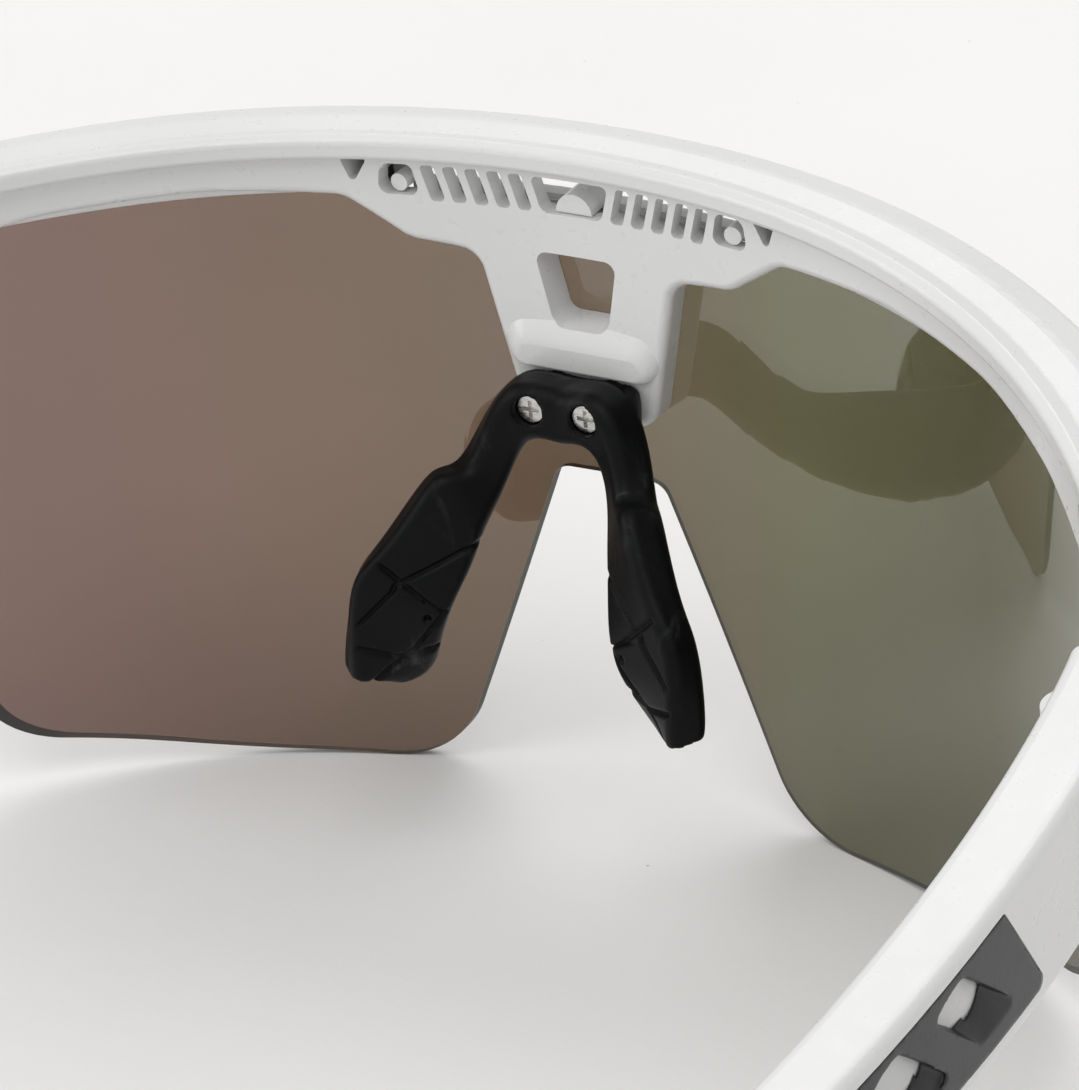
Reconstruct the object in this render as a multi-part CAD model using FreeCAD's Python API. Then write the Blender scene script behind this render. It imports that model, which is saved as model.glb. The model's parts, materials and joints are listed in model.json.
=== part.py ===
"""Wraparound sport sunglasses: one curved shield lens, a white brow frame with a
T-shaped bridge, a screwed rubber nose piece and two folding arms.

Everything is drawn with Y measured backward from the middle of the lens's inner
face and Z up from the lens's lowest point, then moved as one so that the origin
is at the middle of the footprint.  +X is the wearer's left.
"""
import FreeCAD, Part
import math
import os

V = FreeCAD.Vector

# ---- driving dimensions, millimetres and degrees ----
lens_radius = 72.8           # inner face of the lens, a vertical cylinder
lens_thickness = 1.2
lens_clearance = 0.1
lens_end_angle = 53.0        # where the lens ends inside the frame's end blocks

wall_radius = 70.1           # rear face of the brow and the bridge
ridge_radius = 69.2          # inner top edge of the brow
front_radius = 77.0          # front face of the brow
brow_height = 5.9
ridge_top = 60.7             # height of the brow's top ridge at the middle
arm_slope = 0.108            # how fast the ridge falls towards the rear
slope_start = 6.0            # Y where the ridge begins to fall
slope_blend = 5.0

corner_start = 54.0          # heading where the brow turns tighter
corner_radius = 46.0
corner_end = 84.0            # heading where the arm's gentle bow begins
arm_bow_radius = 168.0
hook_start = 110.0           # Y where the arm bends down behind the ear
hook_radius = 34.0
hook_angle = 55.0
hook_length = 38.55

arm_width = 5.5
arm_height = 13.0
tip_width = 4.6
tip_height = 7.0
sock_wall = 1.1

pocket_start = 70.6          # Y of the pocket's lower front corner in the arm's outer face
pocket_end = 109.0           # Y of its upper rear corner
pocket_top = 1.1             # distance of its upper edge below the ridge
pocket_height = 10.6         # distance of its lower edge below the ridge, at the front
pocket_taper = 0.06
pocket_depth = 1.6
first_mouth = 82.2           # Y where the first of the insert's mouths starts, at its top
mouth_pitch = 7.85
mouth_width = 5.0

hinge_x = 63.2
hinge_y = 48.8
hinge_radius = 2.4           # knuckle and leaves
hinge_gap = 0.3
hinge_bottom = 43.0
leaf_height = 1.8
knuckle_height = 2.5
washer_height = 0.3
axial_gap = 0.06
seam_angle = 41.0            # direction that the joint line faces, seen from above
seam_reach = 2.33            # distance of the joint line from the hinge axis
pin_radius = 0.8
pin_clearance = 0.05

slot_top = 57.8
slot_bottom = 54.7
slot_pitch = 1.88
slot_width = 1.22
wall_rounding = 0.7          # rounding of the bridge wall's lower rear rim
vent_wall = 1.5              # thickness of the wall that the slots go through
slot_lean = 0.85
slots_per_side = 5

nose_screw_x = 2.5
nose_screw_z = 39.5
nose_plate_rear = 7.9

FAR = 120.0                  # reach of cutting solids


# ---- small drawing helpers ----

def axis_point(radius, degrees, z):
    """Point on a vertical cylinder round the lens axis, at an angle from the front."""
    turn = math.radians(degrees)
    return V(radius * math.sin(turn), lens_radius - radius * math.cos(turn), z)


def ring(inner, outer, low, high):
    """Upright ring round the lens axis."""
    centre = V(0, lens_radius, low)
    whole = Part.makeCylinder(outer, high - low, centre)
    return whole.cut(Part.makeCylinder(inner, high - low, centre))


def outline(corners, place):
    """Closed wire through (a, b, radius) corners; place turns (a, b) into a point."""
    stops = []
    count = len(corners)
    for index, (a, b, radius) in enumerate(corners):
        here = V(a, b, 0)
        before = V(corners[index - 1][0], corners[index - 1][1], 0)
        after = V(corners[(index + 1) % count][0], corners[(index + 1) % count][1], 0)
        back = (before - here).normalize()
        ahead = (after - here).normalize()
        if radius == 0:
            stops.append((here, None, here))
            continue
        half = back.getAngle(ahead) / 2
        middle = (back + ahead).normalize()
        reach = radius / math.tan(half)
        nearest = radius / math.sin(half) - radius
        stops.append((here + back * reach, here + middle * nearest, here + ahead * reach))
    edges = []
    for index, (start, middle, end) in enumerate(stops):
        if middle is not None:
            edges.append(Part.Arc(place(start), place(middle), place(end)).toShape())
        following = stops[(index + 1) % count][0]
        if end.distanceToPoint(following) > 1e-6:
            edges.append(Part.makeLine(place(end), place(following)))
    return Part.Wire(edges)


def front_prism(corners, near=-20.0, far=60.0):
    """Solid with the given (x, z, radius) outline, seen from the front."""
    wire = outline(corners, lambda p: V(p.x, near, p.y))
    return Part.Face(wire).extrude(V(0, far - near, 0))


def side_prism(corners, inner=40.0, outer=90.0):
    """Solid with the given (y, z, radius) outline, seen from the side."""
    wire = outline(corners, lambda p: V(inner, p.x, p.y))
    return Part.Face(wire).extrude(V(outer - inner, 0, 0))


def mirrored(corners):
    """Outline for both sides from the corners of the +X half, middle outward."""
    other = [(-a, b, radius) for a, b, radius in reversed(corners)]
    return corners + other


def mirror(shape):
    return shape.mirror(V(0, 0, 0), V(1, 0, 0))


def both(shape):
    return shape.fuse(mirror(shape))


def cylinder(radius, start, direction, length):
    return Part.makeCylinder(radius, length, start, direction)


# ---- the line that the ridge follows from the brow into the arm ----

def ridge_height(y):
    past = y - slope_start
    return ridge_top - arm_slope * (past + math.hypot(past, slope_blend)) / 2


def turn_centres():
    """Centres of the corner arc and of the arm's long bow, on the +X side."""
    start = axis_point(ridge_radius, corner_start, 0)
    begin = math.radians(corner_start)
    corner = start + V(-math.sin(begin), math.cos(begin), 0) * corner_radius
    end = math.radians(corner_end)
    joint = corner + V(math.sin(end), -math.cos(end), 0) * corner_radius
    bow = joint + V(-math.sin(end), math.cos(end), 0) * arm_bow_radius
    return corner, bow


def ridge_point(heading):
    """Inner top edge where the line seen from above has this heading (90 is straight back)."""
    turn = math.radians(heading)
    corner, bow = turn_centres()
    if heading <= corner_start:
        point = axis_point(ridge_radius, heading, 0)
    elif heading <= corner_end:
        point = corner + V(math.sin(turn), -math.cos(turn), 0) * corner_radius
    else:
        point = bow + V(math.sin(turn), -math.cos(turn), 0) * arm_bow_radius
    point.z = ridge_height(point.y)
    return point


def outward(heading):
    turn = math.radians(heading)
    return V(math.sin(turn), -math.cos(turn), 0)


def heading_at(y):
    """Heading of the arm where it passes this Y."""
    bow = turn_centres()[1]
    return 90 + math.degrees(math.asin((y - bow.y) / arm_bow_radius))


def blend(a, b, share):
    share = min(1.0, max(0.0, share))
    smooth = share * share * (3 - 2 * share)
    return a + (b - a) * smooth


# ---- brow frame ----

def brow_section(heading):
    """Cross-section of the brow: wall, rear bead, crowned top and front face."""
    to_arm = (abs(heading) - 43.0) / (corner_end - 43.0)
    bead = blend(1.0, 0.35, to_arm)
    wide = blend(front_radius - ridge_radius, arm_width, to_arm)
    deep = blend(brow_height, arm_height, to_arm)
    hidden = blend(1.0, 0.0, to_arm * 4)
    wall = wall_radius - ridge_radius
    shape = [
        (wall + hidden, -deep, 0.4),
        (wall + hidden, -2.45, 0.25),
        (wall - 1.15 * bead, -1.9, 0.45),
        (wall - 1.15 * bead, -0.35, 0.5),
        (wall - 0.35 * bead, 0.05, 0.3),
        (wall + 0.9, -0.22 * bead, 0.6),
        (wide * 0.55, 0.12, 2.0),
        (wide - 1.0, -0.35, 0.6),
        (wide, -1.5, 0.7),
        (wide - 0.1, -deep, 0.6),
    ]
    base = ridge_point(abs(heading))
    side = outward(abs(heading))
    flip = -1 if heading < 0 else 1

    def place(p):
        spot = base + side * p.x + V(0, 0, p.y)
        return V(flip * spot.x, spot.y, spot.z)

    return outline(shape, place)


def brow_loft():
    half = [0, 10, 20, 30, 37, 43, 48, 54, 62, 72, 84]
    headings = [-h for h in reversed(half[1:])] + half
    return Part.makeLoft([brow_section(h) for h in headings], True, False)


def bridge_wall():
    """Rear wall of the brow with its vent shelf and the bridge's stem."""
    edge = [
        (6.0, 36.6, 2.2),
        (7.4, 43.2, 8.0),
        (8.9, 50.4, 2.2),
        (14.6, 51.1, 3.0),
        (19.8, 54.7, 3.0),
        (31.0, 55.1, 40.0),
        (43.0, 54.2, 20.0),
        (50.6, 51.8, 10.0),
        (55.0, 49.0, 0),
        (55.0, 56.6, 0),
        (48.0, 57.5, 0),
        (36.0, 59.0, 0),
    ]
    plate = front_prism(mirrored(edge), far=45.0)
    wall = plate.common(ring(wall_radius, lens_radius - lens_clearance, 30.0, 60.0))
    return wall.makeFillet(wall_rounding, [e for e in wall.Edges if on_rear_rim(e)])


def on_rear_rim(edge):
    """Whether an edge of the bridge wall runs along its lower rear rim."""
    for share in (0.0, 0.5, 1.0):
        point = edge.valueAt(edge.FirstParameter + (edge.LastParameter - edge.FirstParameter) * share)
        reach = math.hypot(point.x, point.y - lens_radius)
        if abs(reach - wall_radius) > 0.01 or point.z > 55.3 or abs(point.x) > 54.9:
            return False
    return True


def bridge_foot():
    """Soft swelling over the stem's lower end, which the nose piece sits under."""
    swelling = [
        (2.6, 7.1, 40.9, 45.4, 2.0),
        (3.1, 6.8, 41.0, 44.6, 1.7),
        (3.5, 6.3, 41.1, 43.9, 1.3),
        (3.75, 5.4, 41.4, 43.2, 0.8),
    ]
    outlines = []
    for y, half, low, high, roundness in swelling:
        corners = [(half, low, roundness), (half, high, roundness),
                   (-half, high, roundness), (-half, low, roundness)]
        outlines.append(outline(corners, lambda p: V(p.x, y, p.y)))
    return Part.makeLoft(outlines, True, False)


def vent_chamber():
    """Hollow between the slotted rear wall and the brow's front lip."""
    room = front_prism(mirrored([(17.3, 54.4, 0.4), (17.3, 58.0, 0.6)]), far=20.0)
    return room.common(ring(wall_radius + vent_wall, lens_radius + lens_thickness, 50.0, 60.0))


def vent_slots():
    """Leaning slots and the larger end openings through the rear wall, +X half."""
    cuts = []
    for index in range(slots_per_side):
        top = 4.9 + index * slot_pitch
        low = top - slot_lean
        half = slot_width / 2
        cuts.append([
            (top - half, slot_top, 0.35), (top + half, slot_top, 0.35),
            (low + half, slot_bottom, 0.4), (low - half, slot_bottom, 0.4),
        ])
    cuts.append([(13.7, slot_top, 0.7), (16.3, slot_top, 0.9),
                 (16.6, 55.1, 0.9), (13.1, 55.1, 0.7)])
    cuts.append([(17.2, 58.25, 0.3), (19.5, 58.25, 0.3), (18.6, 55.8, 0.35)])
    solids = [front_prism(cut, far=20.0) for cut in cuts]
    middle = front_prism([(3.5, slot_top, 0.5), (-3.5, slot_top, 0.5),
                          (-2.7, slot_bottom, 0.9), (2.7, slot_bottom, 0.9)], far=20.0)
    return Part.makeCompound(solids + [mirror(s) for s in solids] + [middle])


def stem_window():
    """Flared opening through the stem that shows the lens."""
    rear = outline([(3.9, 51.3, 1.0), (-3.9, 51.3, 1.0), (-2.6, 44.6, 1.3), (2.6, 44.6, 1.3)],
                   lambda p: V(p.x, 4.0, p.y))
    front = outline([(3.2, 50.9, 0.7), (-3.2, 50.9, 0.7), (-2.0, 45.3, 1.0), (2.0, 45.3, 1.0)],
                    lambda p: V(p.x, -1.0, p.y))
    return Part.makeLoft([rear, front], True, True)


def seam_cutter(reach, low=-10.0, high=90.0):
    """Everything beyond the joint line between frame and arm, on the arm's side."""
    length = FAR
    facing = outward_from_x(seam_angle)
    along = V(-facing.y, facing.x, 0)
    corner = V(hinge_x, hinge_y, low) + facing * reach - along * length
    wire = Part.makePolygon([corner, corner + facing * length,
                             corner + facing * length + along * length * 2,
                             corner + along * length * 2, corner])
    return Part.Face(wire).extrude(V(0, 0, high - low))


def outward_from_x(degrees):
    turn = math.radians(degrees)
    return V(math.cos(turn), math.sin(turn), 0)


def quarter_behind(reach, low=-10.0, high=90.0):
    """The quarter of space that the arm's inner corner sweeps when it folds."""
    facing = outward_from_x(seam_angle)
    along = V(-facing.y, facing.x, 0)
    corner = V(hinge_x, hinge_y, low)
    wire = Part.makePolygon([corner, corner + facing * reach, corner + (facing + along) * reach,
                             corner + along * reach, corner])
    return Part.Face(wire).extrude(V(0, 0, high - low))


def hinge_column(radius, low, high):
    return Part.makeCylinder(radius, high - low, V(hinge_x, hinge_y, low))


def hinge_levels():
    """Heights of the lower leaf, the washer, the knuckle and the upper leaf."""
    leaf_top = hinge_bottom + leaf_height
    washer_low = leaf_top + axial_gap
    knuckle_low = washer_low + washer_height + axial_gap
    knuckle_top = knuckle_low + knuckle_height
    upper_low = knuckle_top + axial_gap
    return leaf_top, washer_low, knuckle_low, knuckle_top, upper_low, upper_low + leaf_height


def end_block_cuts():
    """What is taken off one end of the frame so that the arm can fold, +X side."""
    leaf_top, _, _, _, upper_low, _ = hinge_levels()
    swing = quarter_behind(20.0).cut(hinge_column(hinge_radius, -10.0, 90.0))
    behind = Part.makeBox(16, 12, upper_low - leaf_top, V(hinge_x - 8, hinge_y - 0.2, leaf_top))
    return [seam_cutter(seam_reach - hinge_gap / 2), swing, behind]


def knuckle_slot():
    """Round room between the leaves where the arm's knuckle turns."""
    leaf_top, _, _, _, upper_low, _ = hinge_levels()
    return hinge_column(hinge_radius + hinge_gap, leaf_top, upper_low)


def pin_hole():
    return hinge_column(pin_radius + pin_clearance, hinge_bottom - 3.0, hinge_levels()[4])


def hinge_leaves():
    """Two round leaves with short webs that run forward into the end block."""
    leaf_top, _, _, _, upper_low, upper_top = hinge_levels()
    leaves = []
    for low, high in ((hinge_bottom, leaf_top), (upper_low, upper_top)):
        leaves.append(hinge_column(hinge_radius, low, high))
        leaves.append(Part.makeBox(3.6, 5.0, high - low, V(hinge_x - 1.2, hinge_y - 5.0, low)))
    return leaves


def front_frame():
    body = brow_loft().fuse([bridge_wall(), bridge_foot()])
    groove = ring(lens_radius - lens_clearance, lens_radius + lens_thickness + lens_clearance,
                  20.0, ridge_top - 2.3)
    body = body.cut(groove.common(lens_pocket()))
    body = body.cut(vent_slots()).cut(vent_chamber())
    body = body.cut(stem_window()).cut(vent_mouth())
    for side in (lambda s: s, mirror):
        for cutter in end_block_cuts():
            body = body.cut(side(cutter))
        body = body.fuse([side(leaf) for leaf in hinge_leaves()])
        for cutter in (knuckle_slot(), pin_hole(), hinge_insert_hole(), nose_insert_hole()):
            body = body.cut(side(cutter))
    return body.removeSplitter()


# ---- lens ----

def lens_top_edge(clearance):
    """Upper outline of the lens or of its groove, middle outward."""
    rise = clearance
    end_x = (lens_radius + lens_thickness) * math.sin(math.radians(lens_end_angle)) + clearance
    return [
        (13.4 - clearance, 53.4 + rise, 0.6),
        (17.2 - clearance, 53.9 + rise, 0.5),
        (17.6 - clearance, 57.9 + rise, 0.6),
        (32.0, 57.75 + rise, 30.0),
        (45.0, 56.5 + rise, 20.0),
        (end_x, 53.4 + rise, 1.5),
    ]


def lens_outline():
    """Full outline of the lens, seen from the front, +X half from the top middle down."""
    return lens_top_edge(0.0) + [
        (58.2, 40.0, 20.0),
        (50.5, 5.2, 6.5),
        (34.0, 1.15, 60.0),
        (16.5, 0.0, 8.0),
        (4.9, 30.3, 1.7),
    ]


def lens_pocket():
    """Room that the lens needs inside the frame."""
    top = lens_top_edge(lens_clearance)
    end_x = top[-1][0]
    return front_prism(mirrored(top + [(end_x, 20.0, 0)]), far=55.0)


def lens():
    plate = front_prism(mirrored(lens_outline()), far=55.0)
    return plate.common(ring(lens_radius, lens_radius + lens_thickness, -5.0, 62.0))


# ---- vent cover: strip on the lens's lowered top edge, with pegs into the frame ----

def vent_mouth():
    """Air inlet through the brow's front lip."""
    mouth = front_prism(mirrored([(15.8, 50.0, 0), (15.2, 57.0, 1.2)]), near=-20.0, far=10.0)
    return mouth.common(ring(lens_radius - lens_clearance, front_radius + 4, 45.0, 60.0))


def vent_cover():
    strip = front_prism(mirrored([(13.0, 53.6, 0.3), (13.0, 54.5, 0.3)]), far=20.0)
    strip = strip.common(ring(lens_radius + 0.1, lens_radius + lens_thickness - 0.1, 50.0, 60.0))
    rail = front_prism(mirrored([(15.1, 54.2, 0.2), (15.1, 55.0, 0.2)]), far=20.0)
    rail = rail.common(ring(lens_radius + 0.3, lens_radius + 1.6, 50.0, 60.0))
    pieces = [rail]
    for side in (-1, 1):
        centre = V(side * 15.0, -1.2, 56.0)
        inner_face = lens_radius - math.sqrt(wall_radius ** 2 - centre.x ** 2)
        pieces.append(cylinder(0.75, centre, V(0, 1, 0), inner_face - centre.y - 0.4))
        web = Part.makeBox(0.9, 1.0, 1.5, V(centre.x - side * 0.15 - 0.45, 0.35, 54.3))
        pieces.append(web)
    dome = cylinder(1.6, V(0, -1.0, 54.85), V(0, 1, 0), 3.3)
    pieces.append(dome.common(Part.makeBox(6, 6, 4, V(-3, -2, 54.8))))
    return strip.fuse(pieces).removeSplitter()


# ---- arms ----

def arm_size(y):
    """Width and height of the arm's section along its straight stretch."""
    share = (y - hinge_y) / (hook_start - hinge_y)
    return blend(arm_width, tip_width + 0.5, share), blend(arm_height, 10.2, share)


def arm_stations():
    """Sections along the arm: ridge point, outward, down, width and height."""
    stations = []
    for y in (43.0, 50.0, 58.0, 67.0, 77.0, 88.0, 99.0, hook_start):
        heading = heading_at(max(y, 54.5)) if y > 54.5 else corner_heading(y)
        wide, deep = arm_size(y)
        stations.append((ridge_point(heading), outward(heading), V(0, 0, -1), wide, deep))
    return stations


def corner_heading(y):
    corner = turn_centres()[0]
    return math.degrees(math.acos((corner.y - y) / corner_radius))


def hook_stations():
    """Sections from the start of the ear hook to its tip."""
    heading = heading_at(hook_start)
    turn = math.radians(heading)
    level = V(math.cos(turn), math.sin(turn), 0)
    side = outward(heading)
    start = ridge_point(heading)
    first = math.degrees(math.atan(arm_slope))
    stations = []
    steps = 5
    for step in range(steps + 1):
        dip = math.radians(first + (hook_angle - first) * step / steps)
        rise = math.cos(dip) - math.cos(math.radians(first))
        run = math.sin(dip) - math.sin(math.radians(first))
        point = start + level * (hook_radius * run) + V(0, 0, hook_radius * rise)
        down = level * -math.sin(dip) + V(0, 0, -math.cos(dip))
        share = step / steps
        stations.append((point, side, down, blend(arm_size(hook_start)[0], tip_width + 0.3, share),
                         blend(arm_size(hook_start)[1], 8.6, share)))
    dip = math.radians(hook_angle)
    ahead = level * math.cos(dip) + V(0, 0, -math.sin(dip))
    down = level * -math.sin(dip) + V(0, 0, -math.cos(dip))
    bend_end = stations[-1][0]
    for share, deep, inset in ((0.35, 8.0, 0.0), (0.7, 7.4, 0.1), (0.93, 6.4, 0.5), (1.0, 4.4, 1.3)):
        point = bend_end + ahead * (hook_length * share) + down * inset
        stations.append((point, side, down, tip_width - inset * 0.5, deep))
    return stations


def rounded_section(station, inset, roundness):
    """Rounded rectangle at a station, drawn in from the outside by inset."""
    point, side, down, wide, deep = station
    low = roundness * 1.3
    shape = [
        (inset, inset, roundness), (wide - inset, inset, roundness),
        (wide - 0.3 - inset, deep - inset, low), (0.3 + inset, deep - inset, low),
    ]
    return outline(shape, lambda p: point + side * p.x + down * p.y)


def arm_loft():
    return Part.makeLoft([rounded_section(s, 0.0, 0.9) for s in arm_stations()], True, False)


def tang_loft():
    """Narrow tongue of the arm that the ear sock is pushed onto."""
    stations = [arm_stations()[-1]] + hook_stations()[1:7]
    return Part.makeLoft([rounded_section(s, sock_wall, 0.5) for s in stations], True, False)


def outer_layer(depth):
    """Space outside the arm together with the arm's outermost part, this deep."""
    sections = []
    for point, side, down, wide, deep in arm_stations():
        sections.append(rounded_section((point + side * (wide - depth), side, down, wide, deep), 0.0, 0.9))
    return Part.makeLoft(sections, True, False)


def pocket_bottom(y):
    """How far below the ridge the pocket's lower edge runs."""
    return pocket_height - pocket_taper * (y - pocket_start)


def insert_pocket(margin):
    """Slanted pocket in the arm's outer face, smaller all round by margin."""
    side_step = margin * 1.2

    def corner(y, depth, roundness):
        return (y, ridge_height(y) - depth, roundness)

    window = side_prism([
        corner(pocket_start + 6.0 + side_step, pocket_top + margin, 0.5),
        corner(pocket_start + side_step, pocket_bottom(pocket_start) - margin, 0.7),
        corner(pocket_end - 6.5 - side_step, pocket_bottom(pocket_end - 6.5) - margin, 0.7),
        corner(pocket_end - side_step, pocket_top + margin, 0.5),
    ])
    return window.common(outer_layer(pocket_depth - margin))


def arm_neck():
    """Knuckle and the web that joins it to the arm."""
    _, _, low, high, _, _ = hinge_levels()
    knuckle = hinge_column(hinge_radius, low, high)
    web = Part.makeBox(3.6, 6.5, high - low, V(hinge_x - 1.2, hinge_y, low))
    return knuckle.fuse(web)


def temple_arm():
    facing_cut = seam_cutter(seam_reach + hinge_gap / 2).fuse(quarter_behind(FAR))
    body = arm_loft().common(facing_cut)
    body = body.cut(hinge_column(hinge_radius + hinge_gap, -10.0, 90.0))
    body = body.fuse(arm_neck())
    body = body.cut(hinge_column(pin_radius + pin_clearance, -10.0, 90.0))
    body = body.fuse(tang_loft())
    return body.cut(insert_pocket(0.0)).removeSplitter()


def insert_hole(front):
    """Slanted opening that starts at this Y: a small slot inside, a wide mouth outside."""
    face = ridge_point(heading_at(front)).x + arm_size(front)[0]
    lower = pocket_bottom(front) - 0.7
    lean = lower - 1.6
    slot = [(-2.55, 4.0), (2.7, 3.0), (0.2, 5.5), (-4.1, 5.8)]
    mouth = [(0.0, 1.6), (mouth_width, 1.6), (mouth_width - lean, lower), (-lean, lower)]
    wires = []
    for corners, roundness, x in ((slot, 0.8, face - pocket_depth - 0.2), (mouth, 0.6, face + 0.3)):
        shape = [(front + a, ridge_height(front + a) - depth, roundness) for a, depth in corners]
        wires.append(outline(shape, lambda p: V(x, p.x, p.y)))
    return Part.makeLoft(wires, True, True)


def temple_insert():
    body = arm_loft().common(insert_pocket(0.04))
    for index in range(3):
        body = body.cut(insert_hole(first_mouth + index * mouth_pitch))
    return body.removeSplitter()


def ear_sock():
    stations = [arm_stations()[-1]] + hook_stations()[1:]
    outer = Part.makeLoft([rounded_section(s, 0.0, 1.1) for s in stations], True, False)
    return outer.cut(tang_loft())


# ---- hinge hardware ----

def hinge_insert_hole():
    _, _, _, _, low, high = hinge_levels()
    return hinge_column(1.35, low - 0.01, high - 0.35)


def hinge_insert():
    _, _, _, _, low, high = hinge_levels()
    sleeve = hinge_column(1.33, low, high - 0.35)
    return sleeve.cut(hinge_column(pin_radius + 0.01, low - 1, high + 1))


def cross_recess(centre, direction, width, depth):
    """Cross-shaped driver recess sunk along direction from centre."""
    arms = []
    long = width
    thin = width * 0.24
    for a, b in ((long, thin), (thin, long)):
        arm = Part.makeBox(a, b, depth, V(-a / 2, -b / 2, 0))
        arm.Placement = FreeCAD.Placement(centre, FreeCAD.Rotation(V(0, 0, 1), direction))
        arms.append(arm)
    return arms[0].fuse(arms[1])


def hinge_screw():
    top = hinge_levels()[5] - 0.5
    shank = cylinder(pin_radius, V(hinge_x, hinge_y, hinge_bottom), V(0, 0, 1), top - hinge_bottom)
    head = cylinder(1.5, V(hinge_x, hinge_y, hinge_bottom - 0.9), V(0, 0, 1), 0.88)
    neck = cylinder(pin_radius, V(hinge_x, hinge_y, hinge_bottom - 0.5), V(0, 0, 1), 1.0)
    recess = cross_recess(V(hinge_x, hinge_y, hinge_bottom - 0.95), V(0, 0, 1), 1.7, 0.5)
    return shank.fuse([head, neck]).cut(recess).removeSplitter()


def hinge_washer():
    _, low, _, _, _, _ = hinge_levels()
    disc = hinge_column(2.1, low, low + washer_height)
    return disc.cut(hinge_column(pin_radius + pin_clearance, low - 1, low + 2))


# ---- nose piece ----

def nose_insert_hole():
    return cylinder(1.2, V(nose_screw_x, 0.5, nose_screw_z), V(0, 1, 0), 5.0).common(
        Part.makeBox(20, 2.6, 20, V(-10, 0.4, 30)))


def nose_insert():
    sleeve = cylinder(1.18, V(nose_screw_x, 0.5, nose_screw_z), V(0, 1, 0), 2.2)
    return sleeve.cut(cylinder(0.71, V(nose_screw_x, -1, nose_screw_z), V(0, 1, 0), 6.0))


def nose_screw():
    head_face = nose_plate_rear - 0.35
    start = V(nose_screw_x, 0.7, nose_screw_z)
    shank = cylinder(0.7, start, V(0, 1, 0), head_face - 0.5 - start.y)
    head = cylinder(1.15, V(nose_screw_x, head_face - 0.9, nose_screw_z), V(0, 1, 0), 0.9)
    recess = cross_recess(V(nose_screw_x, head_face + 0.05, nose_screw_z), V(0, -1, 0), 1.5, 0.5)
    return shank.fuse(head).cut(recess).removeSplitter()


# centre of the leg, width across it, thickness, and the way its width lies
nose_leg = [
    ((0.0, 5.7, 38.9), 4.8, 4.6, (0.0, 0.0, 1.0)),
    ((3.1, 6.1, 39.0), 5.0, 4.5, (0.37, 0.0, 0.93)),
    ((5.5, 7.2, 36.7), 3.8, 3.7, (0.70, 0.32, 0.63)),
    ((7.1, 9.2, 33.2), 4.3, 3.6, (0.58, 0.52, 0.63)),
    ((9.2, 12.5, 29.5), 6.8, 3.7, (0.65, 0.41, 0.64)),
    ((11.2, 15.0, 25.4), 8.0, 3.3, (0.84, 0.30, 0.45)),
    ((12.5, 15.5, 21.4), 7.8, 3.4, (0.80, 0.46, 0.38)),
    ((14.1, 16.3, 17.4), 4.7, 2.3, (0.62, 0.66, 0.42)),
]


def leg_frames(sign):
    """Centre, width direction and thickness direction of each leg section."""
    frames = []
    for index, (centre, wide, thick, across) in enumerate(nose_leg):
        before = V(*nose_leg[max(index - 1, 0)][0])
        after = V(*nose_leg[min(index + 1, len(nose_leg) - 1)][0])
        along = (after - before).normalize()
        width_way = V(*across)
        width_way = (width_way - along * width_way.dot(along)).normalize()
        thick_way = along.cross(width_way)
        point = V(centre[0] * sign, centre[1], centre[2])
        width_way.x *= sign
        thick_way.x *= sign
        frames.append((point, width_way, thick_way, wide, thick))
    return frames


def leg_section(frame):
    point, width_way, thick_way, wide, thick = frame
    a = wide / 2
    b = thick / 2
    roundness = min(a, b) * 0.62
    shape = [(a, b, roundness), (-a, b, roundness), (-a, -b, roundness), (a, -b, roundness)]
    return outline(shape, lambda p: point + width_way * p.x + thick_way * p.y)


def nose_core():
    """Stiff yoke inside the rubber: a plate under the screws and a short rod down each leg."""
    plate = Part.makeBox(8.6, 1.2, 3.0, V(-4.3, 4.8, nose_screw_z - 1.5))
    rods = []
    for sign in (-1, 1):
        path = [frame[0] for frame in leg_frames(sign)[1:6]]
        for start, end in zip(path, path[1:]):
            reach = (end - start).Length
            rods.append(cylinder(0.6, start, end - start, reach))
            rods.append(Part.makeSphere(0.6, end))
    core = plate.fuse(rods)
    for side in (-1, 1):
        axis = V(side * nose_screw_x, 0, nose_screw_z)
        core = core.cut(cylinder(0.72, axis, V(0, 1, 0), 12))
        core = core.cut(cylinder(1.3, axis + V(0, nose_plate_rear - 1.3, 0), V(0, 1, 0), 5))
    return core.removeSplitter()


def nose_piece():
    """Rubber arch over the bridge's foot with two splayed pads."""
    frames = list(reversed(leg_frames(-1)[1:])) + leg_frames(1)
    arch = Part.makeLoft([leg_section(frame) for frame in frames], True, False)
    half = arch.common(Part.makeBox(FAR, FAR, FAR, V(0, -20, -20)))
    body = both(half)
    for side in (-1, 1):
        axis = V(side * nose_screw_x, 0, nose_screw_z)
        body = body.cut(cylinder(0.72, axis, V(0, 1, 0), 12))
        body = body.cut(cylinder(1.3, axis + V(0, nose_plate_rear - 1.3, 0), V(0, 1, 0), 5))
    return body.cut(nose_core()).cut(bridge_envelope()).removeSplitter()


def bridge_envelope():
    """Room taken by the bridge in front of the nose piece."""
    return ring(wall_radius - 0.05, lens_radius + 6, 20.0, 60.0).fuse(bridge_foot())


# ---- the whole assembly ----

def pieces():
    found = {
        "front_frame": front_frame(),
        "lens": lens(),
        "vent_cover": vent_cover(),
        "nose_piece": nose_piece(),
        "nose_core": nose_core(),
    }
    paired = {
        "nose_screw": nose_screw(),
        "nose_insert": nose_insert(),
        "temple_arm": temple_arm(),
        "temple_insert": temple_insert(),
        "ear_sock": ear_sock(),
        "hinge_screw": hinge_screw(),
        "hinge_washer": hinge_washer(),
        "hinge_insert": hinge_insert(),
    }
    for name, shape in paired.items():
        found[name + "_left"] = shape
        found[name + "_right"] = mirror(shape)
    return found


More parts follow.
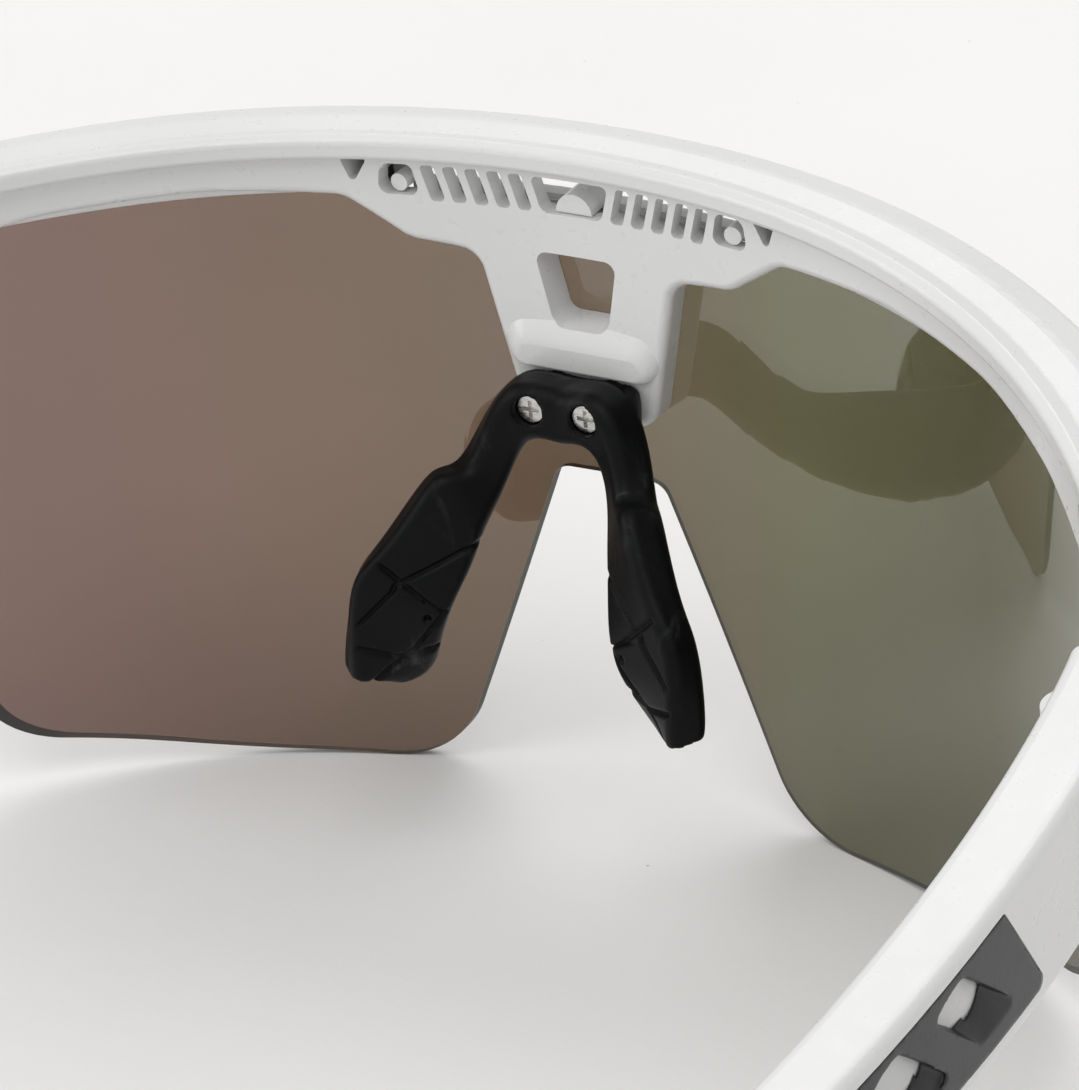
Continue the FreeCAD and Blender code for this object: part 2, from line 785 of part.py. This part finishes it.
def main():
    os.makedirs("parts", exist_ok=True)
    found = pieces()
    bounds = Part.makeCompound(list(found.values())).BoundBox
    to_origin = V(0, -(bounds.YMin + bounds.YMax) / 2, -bounds.ZMin)
    for name, shape in found.items():
        shape = shape.translated(to_origin)
        shape.exportStep("parts/" + name + ".step")
        print(name, "solids", len(shape.Solids), "valid", shape.isValid(),
              "volume %.1f" % shape.Volume)
    print("moved by", to_origin, "size", bounds.XLength, bounds.YLength, bounds.ZLength)


main()
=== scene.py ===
"""Looks of the wraparound sport sunglasses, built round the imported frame.

Metres and Z up. +X is the wearer's left, and +Y points backward to the ears.
"""

import json
import math

import bmesh
import bpy
import numpy as np
from mathutils import Matrix, Vector


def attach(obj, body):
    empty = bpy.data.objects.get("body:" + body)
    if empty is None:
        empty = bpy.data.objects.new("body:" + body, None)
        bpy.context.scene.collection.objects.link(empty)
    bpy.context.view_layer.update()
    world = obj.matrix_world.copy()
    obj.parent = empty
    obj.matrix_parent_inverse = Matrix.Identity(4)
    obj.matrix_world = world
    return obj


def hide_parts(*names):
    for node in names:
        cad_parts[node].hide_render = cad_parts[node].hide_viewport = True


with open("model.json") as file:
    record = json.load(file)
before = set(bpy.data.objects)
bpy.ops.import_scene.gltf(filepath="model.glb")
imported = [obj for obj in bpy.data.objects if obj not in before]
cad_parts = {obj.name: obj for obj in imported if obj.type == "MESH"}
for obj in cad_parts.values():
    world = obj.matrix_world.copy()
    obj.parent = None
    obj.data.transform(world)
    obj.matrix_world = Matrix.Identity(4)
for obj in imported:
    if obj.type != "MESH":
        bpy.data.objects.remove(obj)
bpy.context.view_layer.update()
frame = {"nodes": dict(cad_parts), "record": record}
nodes = frame["nodes"]

MM = 0.001
LENS_AXIS_Y = -1.868 * MM      # upright axis of the lens's cylinder
LENS_MIDDLE = 73.4 * MM        # its radius, halfway through the lens
LENS_HALF_THICKNESS = 0.6 * MM
LENS_HALF_WIDTH = 66 * MM      # reach of the ramp of tint and painted coating reflection on both sides

CAMERA_SPOT = (-0.18322, 0.23514, 0.22321)
CAMERA_RIGHT = Vector((-0.8718, -0.4829, -0.0827))
CAMERA_UP = Vector((0.1723, -0.4602, 0.8709))
CAMERA_LENS = 165.14
SENSOR_HEIGHT = 36.0

FLOOR_HALF_WIDTH = 1.8
FLOOR_NEAR = 1.6               # the floor's end behind the camera
FLOOR_BACK = -0.9              # where it starts to curve up into the backdrop
SWEEP_RADIUS = 0.5
SWEEP_STEPS = 12
BACKDROP_TOP = 1.6


# ---- node materials ----

class Material:
    """A procedural material with a few short calls for its nodes."""

    def __init__(self, name):
        self.data = bpy.data.materials.new(name)
        self.data.use_nodes = True
        self.tree = self.data.node_tree
        self.shader = self.tree.nodes["Principled BSDF"]
        self.place = self.add("ShaderNodeTexCoord").outputs["Object"]

    def add(self, kind, **settings):
        node = self.tree.nodes.new(kind)
        for key, value in settings.items():
            setattr(node, key, value)
        return node

    def link(self, source, target):
        self.tree.links.new(source, target)

    def put(self, **values):
        for key, value in values.items():
            self.shader.inputs[key.replace("_", " ")].default_value = value

    def stretched(self, scale):
        node = self.add("ShaderNodeMapping")
        node.inputs["Scale"].default_value = scale
        self.link(self.place, node.inputs["Vector"])
        return node.outputs["Vector"]

    def noise(self, scale, detail=3.0, rough=0.55, where=None, warp=0.0):
        node = self.add("ShaderNodeTexNoise")
        node.inputs["Scale"].default_value = scale
        node.inputs["Detail"].default_value = detail
        node.inputs["Roughness"].default_value = rough
        node.inputs["Distortion"].default_value = warp
        self.link(where or self.place, node.inputs["Vector"])
        return node.outputs["Fac"]

    def dots(self, scale, where=None):
        node = self.add("ShaderNodeTexVoronoi")
        node.inputs["Scale"].default_value = scale
        self.link(where or self.place, node.inputs["Vector"])
        return node.outputs["Distance"]

    def range(self, value, low, high, to_low=0.0, to_high=1.0):
        node = self.add("ShaderNodeMapRange")
        self.link(value, node.inputs["Value"])
        for key, number in (("From Min", low), ("From Max", high),
                            ("To Min", to_low), ("To Max", to_high)):
            node.inputs[key].default_value = number
        return node.outputs["Result"]

    def maths(self, operation, a, b):
        node = self.add("ShaderNodeMath", operation=operation)
        for socket, value in zip(node.inputs, (a, b)):
            if isinstance(value, (int, float)):
                socket.default_value = value
            else:
                self.link(value, socket)
        return node.outputs["Value"]

    def mix(self, share, first, second):
        node = self.add("ShaderNodeMix", data_type="RGBA")
        ends = (node.inputs[0], node.inputs[6], node.inputs[7])
        for socket, value in zip(ends, (share, first, second)):
            if isinstance(value, (int, float)):
                socket.default_value = value
            elif isinstance(value, tuple):
                socket.default_value = (*value, 1.0)
            else:
                self.link(value, socket)
        return node.outputs[2]

    def ramp(self, value, stops):
        node = self.add("ShaderNodeValToRGB")
        elements = node.color_ramp.elements
        while len(elements) < len(stops):
            elements.new(0.5)
        for element, (position, colour) in zip(elements, stops):
            element.position = position
            element.color = (*colour, 1.0)
        self.link(value, node.inputs["Fac"])
        return node.outputs["Color"]

    def bump(self, height, distance, strength=1.0, after=None):
        node = self.add("ShaderNodeBump")
        node.inputs["Distance"].default_value = distance
        node.inputs["Strength"].default_value = strength
        self.link(height, node.inputs["Height"])
        if after is not None:
            self.link(after, node.inputs["Normal"])
        return node.outputs["Normal"]

    def colour(self, value):
        self.link(value, self.shader.inputs["Base Color"])

    def roughness(self, value):
        self.link(value, self.shader.inputs["Roughness"])

    def normal(self, value):
        self.link(value, self.shader.inputs["Normal"])


def white_plastic():
    """Glossy moulded plastic with a faint cloud and a few dark specks."""
    m = Material("white_plastic")
    cloud = m.noise(45, 4)
    base = m.mix(m.range(cloud, 0.3, 0.7), (0.670, 0.672, 0.670), (0.705, 0.707, 0.705))
    speck = m.range(m.dots(420), 0.05, 0.10, 1.0, 0.0)
    rare = m.range(m.noise(190, 1), 0.74, 0.77)
    m.colour(m.mix(m.maths("MULTIPLY", speck, rare), base, (0.50, 0.49, 0.47)))
    m.roughness(m.range(m.noise(700, 3), 0.3, 0.7, 0.26, 0.36))
    fine = m.bump(m.noise(2600, 2), 0.00002, 0.25)
    m.normal(m.bump(m.noise(240, 2), 0.00006, 0.25, fine))
    m.put(IOR=1.49, Coat_Weight=0.25, Coat_Roughness=0.12)
    return m.data


def lens_material():
    """Tinted clear plastic with painted reflection in its colour, and a dark cut edge where the
    point lies between the two faces.
    """
    m = Material("lens")
    split = m.add("ShaderNodeSeparateXYZ")
    m.link(m.place, split.inputs[0])
    across = m.range(split.outputs["X"], -LENS_HALF_WIDTH, LENS_HALF_WIDTH)
    # Colour across the lens: its own brown-olive tint plus painted reflection. It shifts from olive
    # on the wearer's right to pink on the left for the coating's reflected colour, and is lighter at
    # the wearer's right end as a painted reflection of the bright surroundings.
    lens_tint_and_painted_reflection = m.ramp(across, [
        (0.0, (0.235, 0.228, 0.180)),
        (0.20, (0.118, 0.115, 0.061)),
        (0.36, (0.150, 0.145, 0.078)),
        (0.50, (0.160, 0.116, 0.078)),
        (0.68, (0.180, 0.116, 0.078)),
        (1.0, (0.222, 0.126, 0.118)),
    ])
    cloud = m.range(m.noise(28, 2), 0.3, 0.7, 0.94, 1.05)
    lens_colour_and_painted_reflection = m.add("ShaderNodeVectorMath", operation="SCALE")
    m.link(lens_tint_and_painted_reflection, lens_colour_and_painted_reflection.inputs[0])
    m.link(cloud, lens_colour_and_painted_reflection.inputs["Scale"])
    from_axis = m.add("ShaderNodeCombineXYZ")
    m.link(split.outputs["X"], from_axis.inputs["X"])
    m.link(m.maths("SUBTRACT", split.outputs["Y"], LENS_AXIS_Y), from_axis.inputs["Y"])
    reach = m.add("ShaderNodeVectorMath", operation="LENGTH")
    m.link(from_axis.outputs[0], reach.inputs[0])
    from_middle = m.maths("SUBTRACT", reach.outputs["Value"], LENS_MIDDLE)
    depth = m.maths("ABSOLUTE", from_middle, 0.0)
    cut_edge = m.range(depth, 0.90 * LENS_HALF_THICKNESS, 0.967 * LENS_HALF_THICKNESS, 1.0, 0.0)
    m.colour(m.mix(cut_edge, lens_colour_and_painted_reflection.outputs[0], (0.034, 0.039, 0.022)))
    polish = m.range(m.noise(900, 2), 0.35, 0.75, 0.012, 0.035)
    m.roughness(m.maths("ADD", polish, m.maths("MULTIPLY", cut_edge, 0.35)))
    m.link(m.range(cut_edge, 0.0, 1.0, 1.0, 0.15), m.shader.inputs["Transmission Weight"])
    m.link(m.range(cut_edge, 0.0, 1.0, 0.5, 0.06), m.shader.inputs["Specular IOR Level"])
    m.normal(m.bump(m.noise(60, 1), 0.00001, 0.15))
    m.put(IOR=1.7)
    return m.data


def black_rubber(name, dark, light, shine):
    """Matt rubber or plastic with dusty streaks and lint."""
    m = Material(name)
    streak = m.noise(420, 5, 0.7, m.stretched((1.0, 1.0, 0.22)), 0.8)
    dust = m.maths("MULTIPLY", m.range(streak, 0.55, 0.78), m.range(m.noise(130, 2), 0.45, 0.62))
    lint = m.range(m.dots(520), 0.02, 0.06, 1.0, 0.0)
    lint = m.maths("MULTIPLY", lint, m.range(m.noise(210, 1), 0.56, 0.64))
    marks = m.maths("MAXIMUM", dust, lint)
    base = m.mix(m.range(m.noise(60, 3), 0.3, 0.7), dark, light)
    m.colour(m.mix(m.maths("MULTIPLY", marks, 0.5), base, (0.11, 0.115, 0.12)))
    m.roughness(m.range(marks, 0.0, 1.0, 0.42, 0.70))
    fine = m.bump(m.noise(3200, 3), 0.00004, 0.5)
    m.normal(m.bump(m.noise(500, 3), 0.00005, 0.35, fine))
    m.put(IOR=1.5, Specular_IOR_Level=shine)
    return m.data


def steel():
    m = Material("screw_steel")
    scratch = m.noise(900, 3, 0.6, m.stretched((1.0, 1.0, 6.0)))
    m.colour(m.mix(m.range(scratch, 0.3, 0.7), (0.46, 0.45, 0.43), (0.74, 0.73, 0.71)))
    m.roughness(m.range(scratch, 0.3, 0.7, 0.18, 0.36))
    m.normal(m.bump(scratch, 0.00002, 0.4))
    m.put(Metallic=1.0)
    return m.data


def brass():
    m = Material("brass")
    grain = m.noise(800, 3)
    m.colour(m.mix(m.range(grain, 0.3, 0.7), (0.55, 0.36, 0.12), (0.74, 0.53, 0.22)))
    m.roughness(m.range(grain, 0.3, 0.7, 0.25, 0.42))
    m.normal(m.bump(grain, 0.00002, 0.3))
    m.put(Metallic=1.0)
    return m.data


def nylon():
    m = Material("nylon")
    grain = m.noise(700, 3)
    m.colour(m.mix(m.range(grain, 0.3, 0.7), (0.52, 0.51, 0.48), (0.64, 0.63, 0.60)))
    m.roughness(m.range(grain, 0.3, 0.7, 0.42, 0.58))
    m.normal(m.bump(grain, 0.00003, 0.3))
    return m.data


def paper():
    """White studio paper with a few specks."""
    m = Material("studio_floor")
    base = m.mix(m.range(m.noise(9, 3), 0.3, 0.7), (0.80, 0.794, 0.786), (0.83, 0.825, 0.818))
    speck = m.range(m.dots(260), 0.02, 0.05, 1.0, 0.0)
    rare = m.range(m.noise(90, 1), 0.60, 0.64)
    m.colour(m.mix(m.maths("MULTIPLY", speck, rare), base, (0.50, 0.49, 0.48)))
    m.roughness(m.range(m.noise(300, 3), 0.3, 0.7, 0.5, 0.62))
    m.normal(m.bump(m.noise(1500, 3), 0.00008, 0.25))
    return m.data


RUBBER_DARK = (0.0018, 0.0021, 0.0025)
RUBBER_LIGHT = (0.0034, 0.0038, 0.0043)
INSERT_DARK = (0.015, 0.015, 0.0165)
INSERT_LIGHT = (0.024, 0.024, 0.026)

materials = {
    "white_plastic": white_plastic(),
    "lens": lens_material(),
    "black_rubber": black_rubber("black_rubber", RUBBER_DARK, RUBBER_LIGHT, 0.12),
    "black_plastic": black_rubber("black_plastic", INSERT_DARK, INSERT_LIGHT, 0.5),
    "screw_steel": steel(),
    "brass": brass(),
    "nylon": nylon(),
}
slot_of = {entry["node"]: entry["material_slot"] for entry in frame["record"]["subparts"]}
for node, piece in nodes.items():
    piece.data.materials.clear()
    piece.data.materials.append(materials[slot_of[node]])


# ---- camera, lights and floor ----

def make_camera():
    data = bpy.data.cameras.new("camera")
    camera = bpy.data.objects.new("camera", data)
    bpy.context.scene.collection.objects.link(camera)
    data.sensor_fit = "VERTICAL"
    data.sensor_height = SENSOR_HEIGHT
    data.lens = CAMERA_LENS
    data.clip_start = 0.01
    away = CAMERA_RIGHT.cross(CAMERA_UP)
    turn = Matrix((CAMERA_RIGHT, CAMERA_UP, away)).transposed().to_4x4()
    camera.matrix_world = Matrix.Translation(CAMERA_SPOT) @ turn
    bpy.context.scene.camera = camera


def area_light(name, spot, aim, size, power):
    data = bpy.data.lights.new(name, "AREA")
    data.shape = "RECTANGLE"
    data.size, data.size_y = size
    data.energy = power
    light = bpy.data.objects.new(name, data)
    bpy.context.scene.collection.objects.link(light)
    light.location = spot
    light.rotation_euler = (Vector(aim) - Vector(spot)).to_track_quat("-Z", "Y").to_euler()


def make_world(strength):
    world = bpy.data.worlds.new("studio")
    world.use_nodes = True
    background = world.node_tree.nodes["Background"]
    background.inputs["Color"].default_value = (1.0, 0.995, 0.985, 1.0)
    background.inputs["Strength"].default_value = strength
    bpy.context.scene.world = world


def make_floor():
    """Floor that curves up into a backdrop in front of the glasses."""
    profile = [(FLOOR_NEAR, 0.0), (FLOOR_BACK, 0.0)]
    for step in range(1, SWEEP_STEPS + 1):
        turn = math.radians(90 * step / SWEEP_STEPS)
        back = FLOOR_BACK - SWEEP_RADIUS * math.sin(turn)
        profile.append((back, SWEEP_RADIUS - SWEEP_RADIUS * math.cos(turn)))
    profile.append((FLOOR_BACK - SWEEP_RADIUS, BACKDROP_TOP))
    mesh = bmesh.new()
    rows = []
    for y, z in profile:
        rows.append([mesh.verts.new((x, y, z)) for x in (-FLOOR_HALF_WIDTH, FLOOR_HALF_WIDTH)])
    for low, high in zip(rows, rows[1:]):
        mesh.faces.new((low[0], low[1], high[1], high[0]))
    data = bpy.data.meshes.new("studio_floor")
    mesh.to_mesh(data)
    mesh.free()
    for face in data.polygons:
        face.use_smooth = True
    data.materials.append(paper())
    floor = bpy.data.objects.new("studio_floor", data)
    bpy.context.scene.collection.objects.link(floor)


make_camera()
make_floor()
make_world(0.64)
area_light("key", (0.10, -0.75, 0.95), (0, 0, 0.03), (0.9, 0.6), 3.5)
area_light("overhead", (-0.10, 0.40, 1.1), (0, 0.05, 0), (0.8, 0.8), 3.8)
area_light("fill", (1.05, 0.55, 0.6), (0, 0, 0.02), (1.0, 0.8), 5.4)
bpy.context.scene.view_settings.view_transform = "Standard"


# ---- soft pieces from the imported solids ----

def skin(node, name, voxel, rounds=2):
    """Even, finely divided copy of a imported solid, ready to be shaped."""
    mesh = nodes[node].data.copy()
    piece = bpy.data.objects.new(name, mesh)
    bpy.context.scene.collection.objects.link(piece)
    weld = piece.modifiers.new("weld", "WELD")
    weld.merge_threshold = 1e-6
    remesh = piece.modifiers.new("remesh", "REMESH")
    remesh.mode = "VOXEL"
    remesh.voxel_size = voxel
    smooth = piece.modifiers.new("smooth", "SMOOTH")
    smooth.iterations = rounds
    smooth.factor = 0.5
    graph = bpy.context.evaluated_depsgraph_get()
    final = bpy.data.meshes.new_from_object(piece.evaluated_get(graph))
    piece.modifiers.clear()
    piece.data = final
    bpy.data.meshes.remove(mesh)
    for face in final.polygons:
        face.use_smooth = True
    final.materials.clear()
    final.materials.append(materials[slot_of[node]])
    return piece


def points_of(piece):
    data = np.zeros(len(piece.data.vertices) * 3, np.float32)
    piece.data.vertices.foreach_get("co", data)
    normal = np.zeros_like(data)
    piece.data.vertices.foreach_get("normal", normal)
    return data.reshape(-1, 3).astype(float), normal.reshape(-1, 3).astype(float)


def move_points(piece, points):
    piece.data.vertices.foreach_set("co", points.astype(np.float32).ravel())
    piece.data.update()


def settle(piece, node):
    bodies = frame["record"]["behaviour"]["bodies"]
    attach(piece, next(body for body, members in bodies.items() if node in members))
    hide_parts(node)


# pad sections from root to tip on the wearer's left: centre in mm, and the way the width lies
PAD_PATH = [
    ((7.1, -65.47, 32.89), (0.56, 0.50, 0.66)),
    ((9.2, -62.17, 29.19), (0.65, 0.41, 0.64)),
    ((11.2, -59.67, 25.09), (0.84, 0.30, 0.45)),
    ((12.5, -59.17, 21.09), (0.81, 0.46, 0.37)),
    ((14.1, -58.37, 17.09), (0.63, 0.67, 0.39)),
]
# grooves moulded in the pad's face, as (mm along the pad, mm across it) runs
PAD_GROOVES = [
    [(9.8, 2.9), (11.0, -4.4)],
    [(3.0, -3.4), (14.2, 3.0)],
    [(16.5, 2.6), (16.3, -0.9), (14.5, -3.6)],
    [(10.8, -3.5), (15.6, -1.7), (19.4, 0.9)],
]
GROOVE_DEPTH = 0.42 * MM
GROOVE_WIDTH = 0.20 * MM
PIN_HOLE = (11.9, -2.3)        # mm along and across the pad
PIN_HOLE_RADIUS = 0.30 * MM
PIN_HOLE_DEPTH = 0.6 * MM
FACE_HEIGHT = 0.4 * MM         # points higher than this above the pad's middle are on its face


def pad_coordinates(points):
    """Each point's place along the pad, across it and above its middle, and the face's direction."""
    folded = points.copy()
    folded[:, 0] = abs(folded[:, 0])
    centres = np.array([centre for centre, _ in PAD_PATH]) * MM
    widths = np.array([way for _, way in PAD_PATH])
    nearest = np.full(len(points), np.inf)
    along, across, above = (np.zeros(len(points)) for _ in range(3))
    face = np.zeros((len(points), 3))
    done = 0.0
    for start, end, wide_a, wide_b in zip(centres, centres[1:], widths, widths[1:]):
        run = end - start
        length = np.linalg.norm(run)
        share = np.clip((folded - start) @ run / length ** 2, 0, 1)
        offset = folded - start - share[:, None] * run
        gap = np.linalg.norm(offset, axis=1)
        wide = wide_a + share[:, None] * (wide_b - wide_a)
        wide /= np.linalg.norm(wide, axis=1)[:, None]
        normal = np.cross(wide, run / length)
        normal /= np.linalg.norm(normal, axis=1)[:, None]
        closer = gap < nearest
        nearest[closer] = gap[closer]
        along[closer] = (done + share * length)[closer]
        across[closer] = (offset * wide).sum(1)[closer]
        above[closer] = (offset * normal).sum(1)[closer]
        face[closer] = normal[closer]
        done += length
    face[:, 0] *= np.sign(points[:, 0])
    return along, across, above, face


def distance_to_run(along, across, start, end):
    a = np.array(start) * MM
    b = np.array(end) * MM
    spot = np.stack([along, across], 1)
    share = np.clip((spot - a) @ (b - a) / ((b - a) @ (b - a)), 0, 1)
    return np.linalg.norm(spot - a - share[:, None] * (b - a), axis=1)


def groove_pads(piece):
    """Moulded cross grooves and a pin hole in the face of both pads."""
    points, _ = points_of(piece)
    along, across, above, face = pad_coordinates(points)
    gap = np.full(len(points), np.inf)
    for groove in PAD_GROOVES:
        for start, end in zip(groove, groove[1:]):
            gap = np.minimum(gap, distance_to_run(along, across, start, end))
    sunk = GROOVE_DEPTH * np.exp(-(gap / GROOVE_WIDTH) ** 2)
    hole = distance_to_run(along, across, PIN_HOLE, (PIN_HOLE[0] + 0.01, PIN_HOLE[1]))
    sunk = np.maximum(sunk, PIN_HOLE_DEPTH * np.exp(-(hole / PIN_HOLE_RADIUS) ** 4))
    sunk *= above > FACE_HEIGHT
    move_points(piece, points - face * sunk[:, None])


STEM_RADIUS = 70.1 * MM       # rear face of the bridge's stem, round the lens's axis
SEAT_GAP = 0.72 * MM          # space between the stem and the middle of the arch
SEAT_CURVE = 0.033 / MM       # how fast that space grows to the sides
SEAT_LAYER = 1.6 * MM         # how deep into the rubber the move reaches
SEAT_CLEARANCE = 0.08 * MM
SEAT_SIDE = 6.2 * MM          # the seat ends here to both sides, and between these heights
SEAT_BOTTOM = 35.5 * MM
SEAT_TOP = 40.5 * MM


def seat_on_stem(piece):
    """Carry the front of the rubber arch forward until it rests on the bridge's stem."""
    points, _ = points_of(piece)
    side = abs(points[:, 0])
    gap = points[:, 1] - LENS_AXIS_Y + np.sqrt(STEM_RADIUS ** 2 - side ** 2)
    front = SEAT_GAP + SEAT_CURVE * side ** 2
    share = np.clip((front + SEAT_LAYER - gap) / SEAT_LAYER, 0, 1)
    share *= np.clip((SEAT_SIDE - side) / (1.2 * MM), 0, 1)
    share *= np.clip((SEAT_TOP - points[:, 2]) / (0.2 * MM), 0, 1)
    share *= np.clip((points[:, 2] - SEAT_BOTTOM) / MM, 0, 1)
    points[:, 1] -= share * np.maximum(np.minimum(front, gap) - SEAT_CLEARANCE, 0)
    move_points(piece, points)


RIB_PITCH = 2.1 * MM
RIB_DEPTH = 0.22 * MM
RIB_START = 14 * MM           # plain lengths at the sock's front and at its tip
RIB_END = 9 * MM
HOOK_ANGLE = math.radians(55)


def rib_sock(piece):
    """Shallow cross ribs on the side of the ear sock that lies against the head."""
    points, normals = points_of(piece)
    outward = np.sign(points[:, 0].mean())
    down_hook = points[:, 1] * math.cos(HOOK_ANGLE) - points[:, 2] * math.sin(HOOK_ANGLE)
    low = down_hook.min() + RIB_START
    high = down_hook.max() - RIB_END
    inside = np.clip((down_hook - low) / MM, 0, 1) * np.clip((high - down_hook) / MM, 0, 1)
    wave = (0.5 + 0.5 * np.cos(2 * math.pi * down_hook / RIB_PITCH)) ** 3
    facing = np.clip(-normals[:, 0] * outward - 0.35, 0, 0.3) / 0.3
    sunk = RIB_DEPTH * wave * inside * facing
    move_points(piece, points - normals * sunk[:, None])


SADDLE_VOXEL = 0.17 * MM
SOCK_VOXEL = 0.32 * MM
INSERT_VOXEL = 0.15 * MM

saddle = skin("nose_piece", "nose_saddle", SADDLE_VOXEL)
groove_pads(saddle)
seat_on_stem(saddle)
settle(saddle, "nose_piece")
for side in ("left", "right"):
    sock = skin("ear_sock_" + side, "ear_grip_" + side, SOCK_VOXEL)
    rib_sock(sock)
    settle(sock, "ear_sock_" + side)
    insert = skin("temple_insert_" + side, "temple_grip_" + side, INSERT_VOXEL, 1)
    settle(insert, "temple_insert_" + side)
